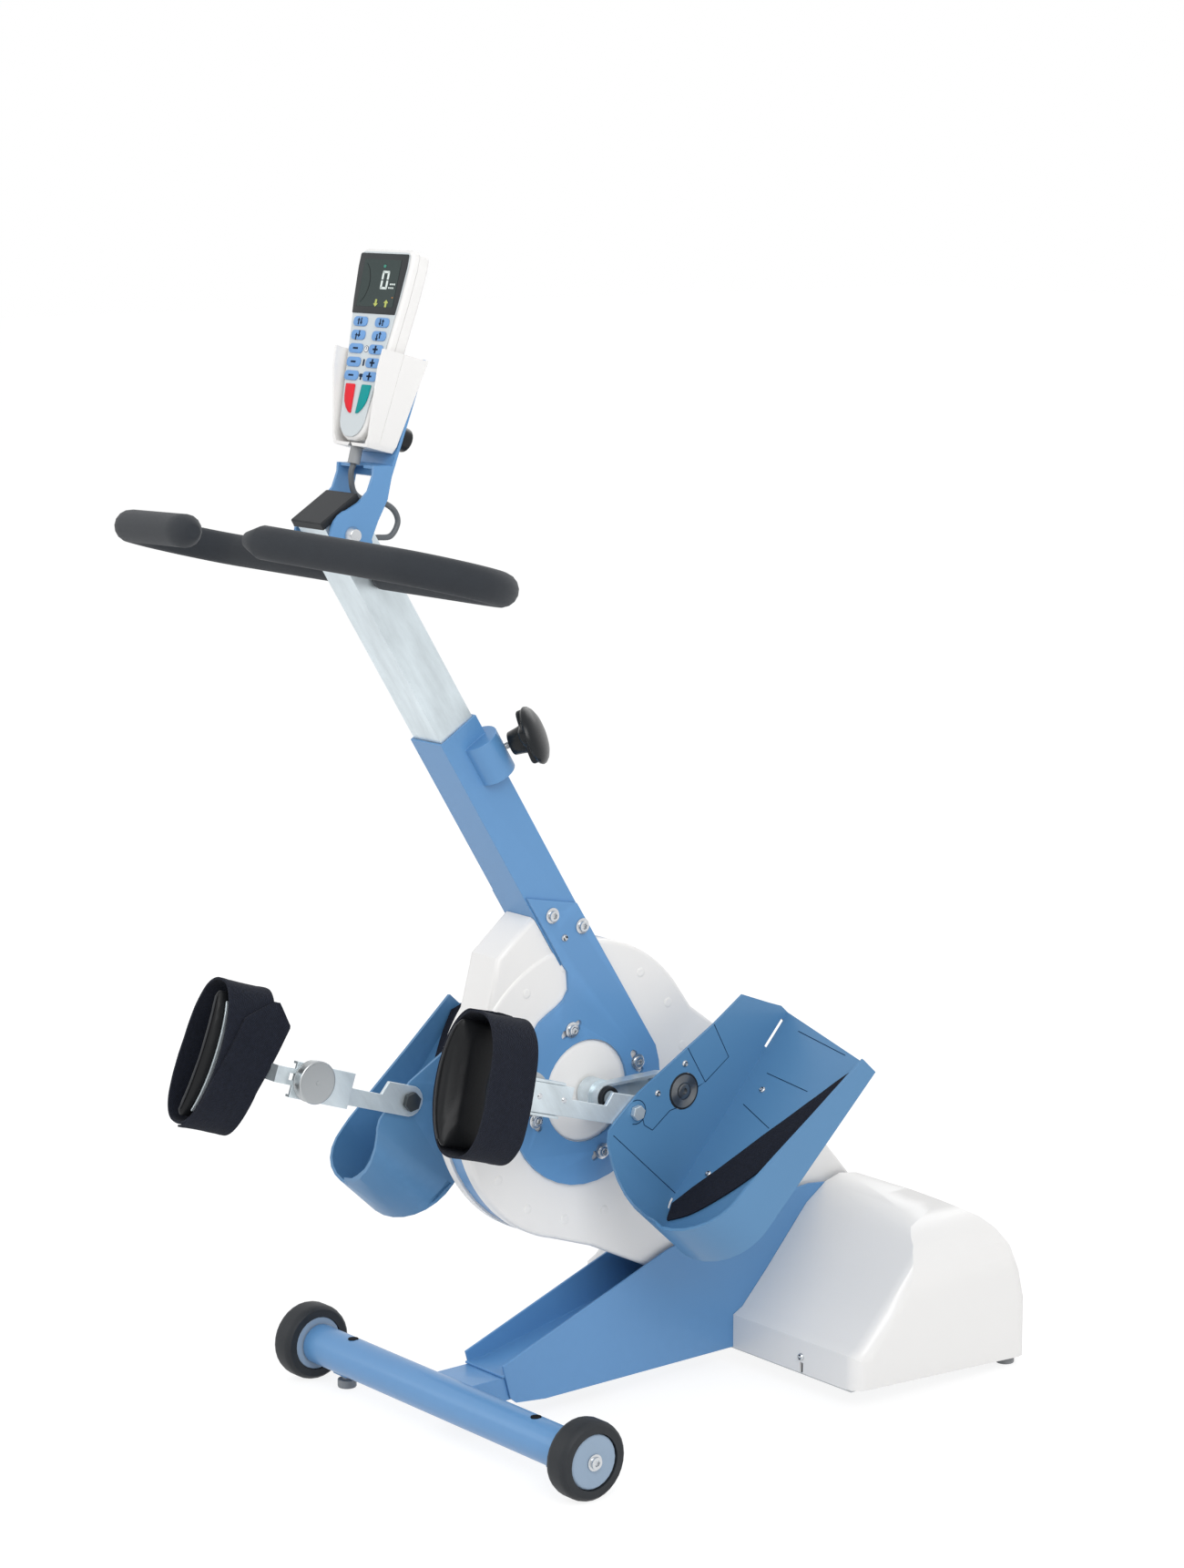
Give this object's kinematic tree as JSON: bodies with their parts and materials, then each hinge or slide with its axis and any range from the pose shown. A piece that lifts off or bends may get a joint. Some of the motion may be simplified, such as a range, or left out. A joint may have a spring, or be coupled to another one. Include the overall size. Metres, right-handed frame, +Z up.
{
  "type": "active passive leg trainer",
  "caption": "Motorised leg trainer used from a chair: wheeled foot frame, belt-driven crank with foot shells and calf cuffs, sliding mast with handlebar and handset",
  "frame": {"origin": "on the floor under the middle of the bounding box", "axes": "+Z up, -Y toward the user's chair, +X toward the user's right"},
  "size_m": [0.546, 0.8788, 1.1848],
  "materials": {
    "blue_paint": "satin",
    "white_gloss": "gloss",
    "shell_blue": "satin",
    "zinc": "brushed",
    "steel": "polished",
    "black_plastic": "matte",
    "foam": "matte",
    "tyre": "matte",
    "hub_blue": "satin",
    "cloth": "matte",
    "grey_plastic": "matte",
    "motor_metal": "matte",
    "bare_rubber": "matte"
  },
  "bodies": {
    "frame": {"crossbar": "blue_paint", "beam": "blue_paint", "trough_frame": "blue_paint", "rear_hood": "white_gloss", "base_plate": "steel", "rear_foot_right": "bare_rubber", "rear_foot_left": "bare_rubber", "drum_shell_right": "white_gloss", "drum_shell_left": "white_gloss", "drum_band": "blue_paint", "side_plate_right": "blue_paint", "side_plate_left": "blue_paint", "outer_tube": "blue_paint", "drive_motor": "motor_metal", "control_box": "grey_plastic", "mains_inlet": "black_plastic", "drive_belt": "bare_rubber"},
    "wheel_right": {"wheel_tyre_right": "tyre", "wheel_hub_right": "hub_blue"},
    "wheel_left": {"wheel_tyre_left": "tyre", "wheel_hub_left": "hub_blue"},
    "screw_foot_right": {"levelling_foot_right": "grey_plastic"},
    "screw_foot_left": {"levelling_foot_left": "grey_plastic"},
    "crank": {"crank_shaft": "steel", "driven_pulley": "grey_plastic", "crank_arm_right": "zinc", "crank_arm_left": "zinc"},
    "motor_rotor": {"motor_pulley": "steel"},
    "star_knob": {"clamp_knob": "black_plastic"},
    "mast": {"inner_tube": "zinc", "tube_cap": "black_plastic", "handlebar": "steel", "grip_right": "foam", "grip_left": "foam", "bracket_bolt": "steel"},
    "head": {"handset_bracket": "blue_paint", "handset_holder": "white_gloss", "handset_body": "white_gloss", "handset_face": "grey_plastic", "handset_plug": "grey_plastic", "handset_cable": "black_plastic"},
    "head_knob": {"holder_knob": "black_plastic"},
    "foot_right": {"foot_shell_right": "shell_blue", "pedal_bearing_right": "steel", "foot_strap_right": "cloth"},
    "guide_right": {"guide_bar_right": "zinc"},
    "cuff_right": {"cuff_slider_right": "zinc", "calf_pad_right": "foam", "calf_strap_right": "cloth"},
    "clamp_right": {"clamp_disc_right": "steel"},
    "foot_left": {"foot_shell_left": "shell_blue", "pedal_bearing_left": "steel", "foot_strap_left": "cloth"},
    "guide_left": {"guide_bar_left": "zinc"},
    "cuff_left": {"cuff_slider_left": "zinc", "calf_pad_left": "foam", "calf_strap_left": "cloth"},
    "clamp_left": {"clamp_disc_left": "steel"}
  },
  "joints": [
    {"name": "wheel_right_spin", "type": "hinge", "parent": "frame", "child": "wheel_right", "pos_m": [0.228, -0.17895, 0.04], "axis": [1, 0, 0], "continuous": true},
    {"name": "screw_foot_right_turn", "type": "hinge", "parent": "frame", "child": "screw_foot_right", "pos_m": [0.178, -0.16895, 0.01], "axis": [0, 0, 1], "continuous": true},
    {"name": "wheel_left_spin", "type": "hinge", "parent": "frame", "child": "wheel_left", "pos_m": [-0.228, -0.17895, 0.04], "axis": [1, 0, 0], "continuous": true},
    {"name": "screw_foot_left_turn", "type": "hinge", "parent": "frame", "child": "screw_foot_left", "pos_m": [-0.178, -0.16895, 0.01], "axis": [0, 0, 1], "continuous": true},
    {"name": "crank_spin", "type": "hinge", "parent": "frame", "child": "crank", "pos_m": [0, -0.01395, 0.3355], "axis": [1, 0, 0], "continuous": true},
    {"name": "motor_spin", "type": "hinge", "parent": "frame", "child": "motor_rotor", "pos_m": [0, 0.29105, 0.1], "axis": [1, 0, 0], "continuous": true},
    {"name": "mast_slide", "type": "slide", "parent": "frame", "child": "mast", "axis": [0, -0.5255, 0.8508], "range_m": [-0.1, 0.05]},
    {"name": "star_knob_turn", "type": "hinge", "parent": "frame", "child": "star_knob", "pos_m": [0.02092, -0.13076, 0.6955], "axis": [0.7071, 0.6016, 0.3716], "continuous": true},
    {"name": "head_tilt", "type": "hinge", "parent": "mast", "child": "head", "pos_m": [0, -0.2991, 0.92063], "axis": [1, 0, 0], "range_deg": [-8, 12], "deforming": ["handset_cable"]},
    {"name": "head_knob_turn", "type": "hinge", "parent": "head", "child": "head_knob", "pos_m": [0, -0.2386, 1.01245], "axis": [0, 0.9311, -0.3649], "continuous": true},
    {"name": "pedal_right_pivot", "type": "hinge", "parent": "crank", "child": "foot_right", "pos_m": [0.09, 0.06105, 0.3355], "axis": [1, 0, 0], "continuous": true},
    {"name": "guide_right_pivot", "type": "hinge", "parent": "foot_right", "child": "guide_right", "pos_m": [0.09, -0.00216, 0.32425], "axis": [1, 0, 0], "range_deg": [-15, 20]},
    {"name": "cuff_right_slide", "type": "slide", "parent": "guide_right", "child": "cuff_right", "axis": [0, 0.9553, -0.2957], "range_m": [0, 0.038]},
    {"name": "clamp_right_turn", "type": "hinge", "parent": "guide_right", "child": "clamp_right", "pos_m": [0.076, -0.12826, 0.36328], "axis": [1, 0, 0], "continuous": true},
    {"name": "pedal_left_pivot", "type": "hinge", "parent": "crank", "child": "foot_left", "pos_m": [-0.09, -0.08895, 0.3355], "axis": [1, 0, 0], "continuous": true},
    {"name": "guide_left_pivot", "type": "hinge", "parent": "foot_left", "child": "guide_left", "pos_m": [-0.09, -0.15216, 0.32425], "axis": [1, 0, 0], "range_deg": [-15, 20]},
    {"name": "cuff_left_slide", "type": "slide", "parent": "guide_left", "child": "cuff_left", "axis": [0, 0.9455, -0.3256], "range_m": [-0.015, 0.022]},
    {"name": "clamp_left_turn", "type": "hinge", "parent": "guide_left", "child": "clamp_left", "pos_m": [-0.076, -0.27697, 0.36722], "axis": [1, 0, 0], "continuous": true}
  ],
  "couplings": [
    {"joint": "motor_spin", "follows": "crank_spin", "ratio": 5.6},
    {"joint": "pedal_right_pivot", "follows": "crank_spin", "ratio": -1},
    {"joint": "pedal_left_pivot", "follows": "crank_spin", "ratio": -1}
  ]
}
